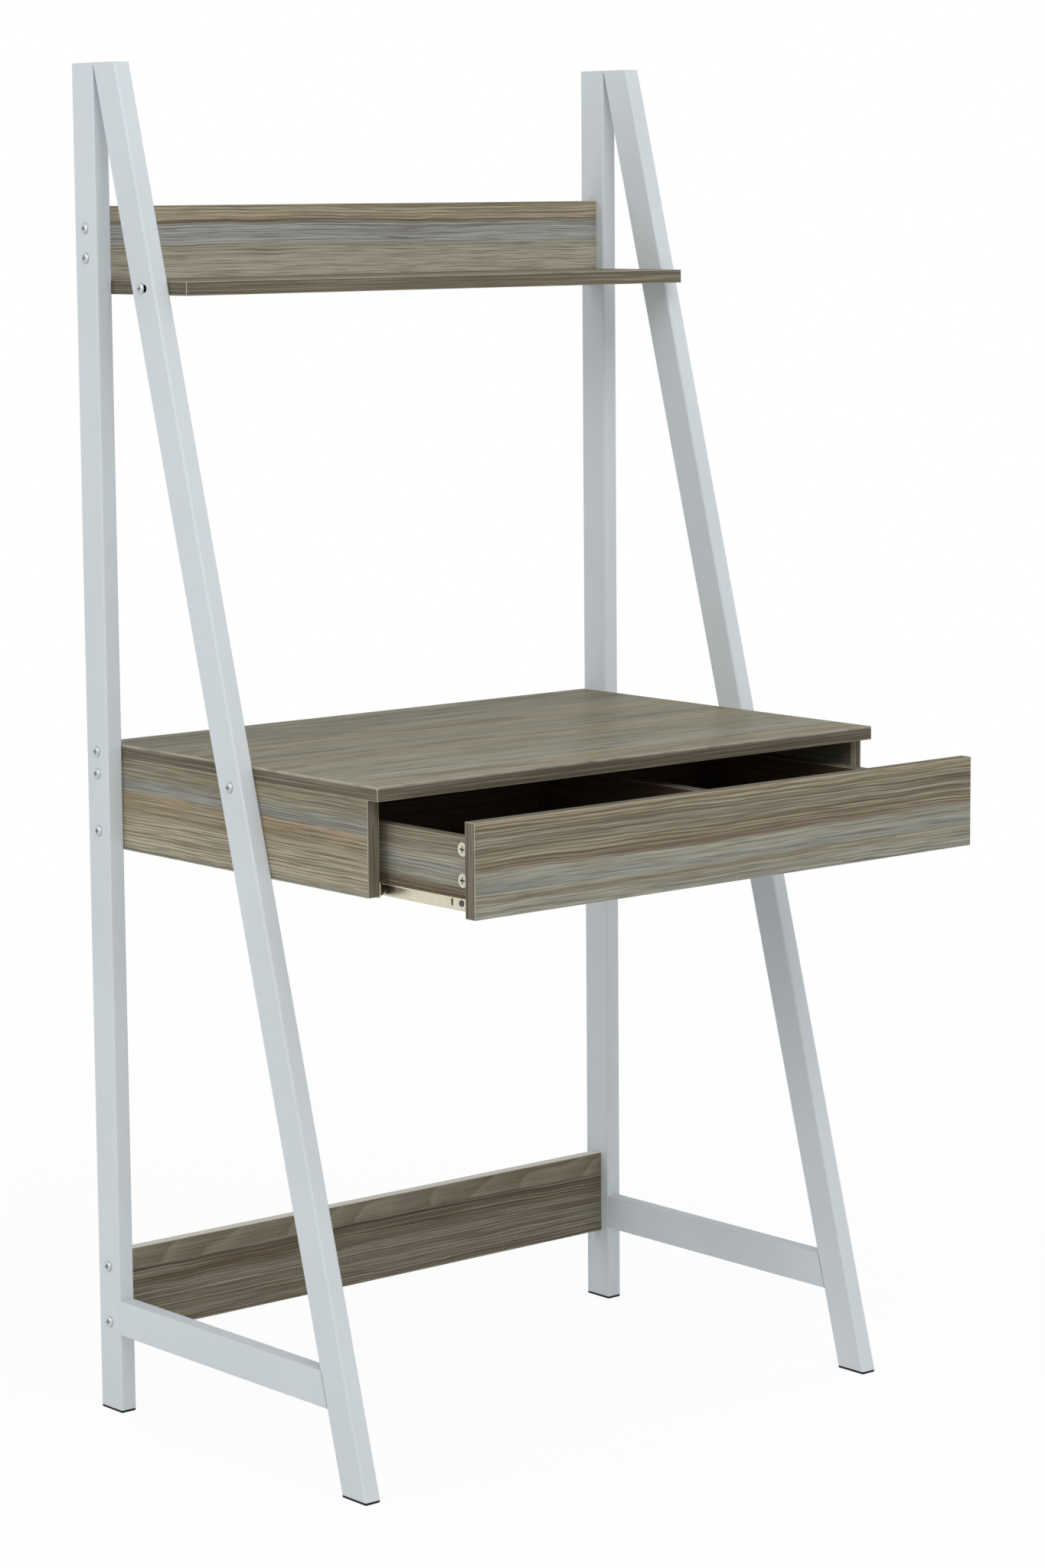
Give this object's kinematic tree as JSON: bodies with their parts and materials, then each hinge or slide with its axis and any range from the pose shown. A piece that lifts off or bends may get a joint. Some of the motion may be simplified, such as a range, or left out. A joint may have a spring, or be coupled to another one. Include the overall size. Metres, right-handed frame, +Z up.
{
  "type": "ladder desk",
  "caption": "Ladder desk: leaning tube side frames carry an upper shelf, a desk top over a divided drawer on roller slides, and a low stretcher.",
  "frame": {"origin": "on the floor under the middle of the whole desk as stored, with the drawer open by 155 mm", "axes": "+X to the desk's right as seen by the user who sits at -Y, +Y towards the rear legs, +Z up"},
  "size_m": [0.7552, 0.65, 1.5],
  "materials": {
    "frame_paint": "pale grey-white satin powder coat",
    "foot_plastic": "black moulded plastic",
    "board_laminate": "grey-brown streaked wood-grain laminate on particle board",
    "bottom_sheet": "thin printed fibreboard",
    "runner_coating": "cream epoxy coat",
    "roller_nylon": "black moulded nylon",
    "bolt_finish": "white-coated steel",
    "zinc_steel": "bright zinc plate",
    "cam_zinc": "cream-white coated die casting",
    "dowel_beech": "plain beech"
  },
  "bodies": {
    "desk_frame": {"rear_leg_left": "frame_paint", "rear_leg_right": "frame_paint", "front_leg_left": "frame_paint", "front_leg_right": "frame_paint", "crossbar_left": "frame_paint", "crossbar_right": "frame_paint", "top_plate_left": "frame_paint", "top_plate_right": "frame_paint", "rear_foot_left": "foot_plastic", "rear_foot_right": "foot_plastic", "front_foot_left": "foot_plastic", "front_foot_right": "foot_plastic", "shelf_board": "board_laminate", "shelf_back_rail": "board_laminate", "desk_top": "board_laminate", "desk_side_left": "board_laminate", "desk_side_right": "board_laminate", "desk_back_panel": "board_laminate", "low_stretcher": "board_laminate", "cabinet_runner_left": "runner_coating", "cabinet_runner_right": "runner_coating", "frame_bolts": "bolt_finish", "desk_back_bolts": "bolt_finish", "desk_side_bolts": "bolt_finish", "barrel_nuts": "zinc_steel", "desk_side_inserts": "zinc_steel", "desk_top_cams": "cam_zinc", "desk_top_cam_pins": "zinc_steel", "shelf_rail_dowels": "dowel_beech", "desk_back_dowels": "dowel_beech", "cabinet_runner_screws": "zinc_steel", "cabinet_roller_pins": "zinc_steel"},
    "drawer": {"drawer_front": "board_laminate", "drawer_side_left": "board_laminate", "drawer_side_right": "board_laminate", "drawer_back": "board_laminate", "drawer_divider": "board_laminate", "drawer_bottom": "bottom_sheet", "drawer_runner_left": "runner_coating", "drawer_runner_right": "runner_coating", "drawer_cams": "cam_zinc", "drawer_cam_pins": "zinc_steel", "drawer_back_screws": "zinc_steel", "divider_dowels": "dowel_beech", "drawer_runner_screws": "zinc_steel", "drawer_roller_pins": "zinc_steel"},
    "cabinet_roller_left": {"cabinet_roller_left": "roller_nylon"},
    "cabinet_roller_right": {"cabinet_roller_right": "roller_nylon"},
    "drawer_roller_left": {"drawer_roller_left": "roller_nylon"},
    "drawer_roller_right": {"drawer_roller_right": "roller_nylon"}
  },
  "joints": [
    {"name": "drawer_slide", "type": "slide", "parent": "desk_frame", "child": "drawer", "axis": [0, -1, 0], "range_m": [-0.155, 0.135]},
    {"name": "cabinet_roller_left_turn", "type": "hinge", "parent": "desk_frame", "child": "cabinet_roller_left", "pos_m": [-0.3353, -0.145, 0.6472], "axis": [1, 0, 0], "range_deg": [-1400, 1250]},
    {"name": "drawer_roller_left_turn", "type": "hinge", "parent": "drawer", "child": "drawer_roller_left", "pos_m": [-0.3322, 0.082, 0.6492], "axis": [1, 0, 0], "range_deg": [-1400, 1250]},
    {"name": "cabinet_roller_right_turn", "type": "hinge", "parent": "desk_frame", "child": "cabinet_roller_right", "pos_m": [0.3353, -0.145, 0.6472], "axis": [1, 0, 0], "range_deg": [-1400, 1250]},
    {"name": "drawer_roller_right_turn", "type": "hinge", "parent": "drawer", "child": "drawer_roller_right", "pos_m": [0.3322, 0.082, 0.6492], "axis": [1, 0, 0], "range_deg": [-1400, 1250]}
  ],
  "couplings": [
    {"joint": "cabinet_roller_left_turn", "follows": "drawer_slide", "rad_per_m": 153.85},
    {"joint": "drawer_roller_left_turn", "follows": "drawer_slide", "rad_per_m": 153.85},
    {"joint": "cabinet_roller_right_turn", "follows": "drawer_slide", "rad_per_m": 153.85},
    {"joint": "drawer_roller_right_turn", "follows": "drawer_slide", "rad_per_m": 153.85}
  ]
}
